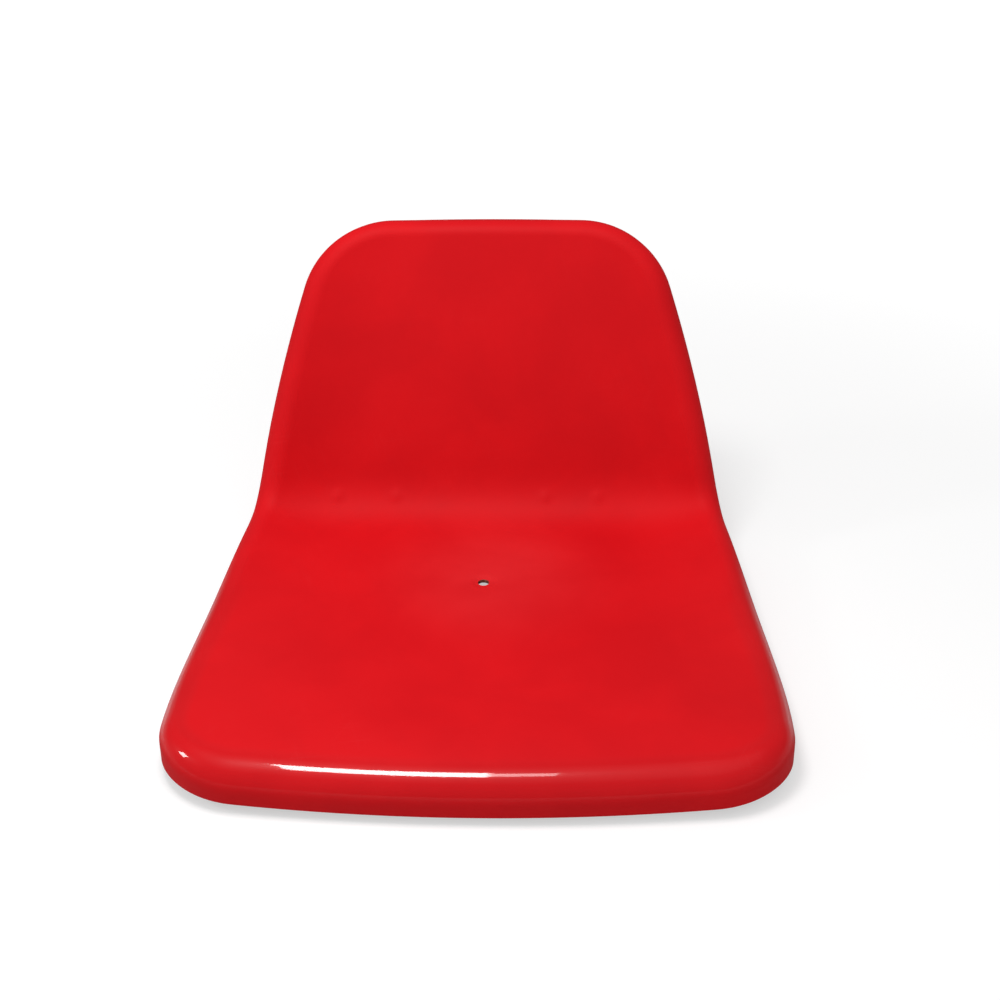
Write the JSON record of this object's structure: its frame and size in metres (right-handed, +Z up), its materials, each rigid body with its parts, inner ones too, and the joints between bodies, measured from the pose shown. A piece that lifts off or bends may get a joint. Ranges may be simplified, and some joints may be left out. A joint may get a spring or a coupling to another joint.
{
  "type": "stadium seat",
  "caption": "Low-back bucket stadium seat: a one-piece double-curved glass-fibre shell with a turned-down rim, bolted from below through captive nuts in glassed-over bearers.",
  "frame": {"origin": "on the ground plane that the bearers' undersides rest on, under the centre of the whole seat", "axes": "+Z up, the open front of the seat towards -Y, +X to the right of someone standing in front of it; left is -X"},
  "size_m": [0.4482, 0.4582, 0.2664],
  "materials": {
    "gelcoat_shell": "glossy pigmented gelcoat on the show side, pigmented laminate on the back",
    "over_laminate": "rough hand-laid glass-fibre laminate under a brushed red flow coat",
    "bearer_timber": "sawn hardwood",
    "plated_steel": "zinc plated"
  },
  "bodies": {
    "root": {"seat_shell": "gelcoat_shell", "bearer_left": "bearer_timber", "bearer_right": "bearer_timber", "bearer_capping_left": "over_laminate", "bearer_capping_right": "over_laminate", "tee_nut_front_left": "plated_steel", "tee_nut_front_right": "plated_steel", "tee_nut_rear_left": "plated_steel", "tee_nut_rear_right": "plated_steel"}
  },
  "joints": []
}
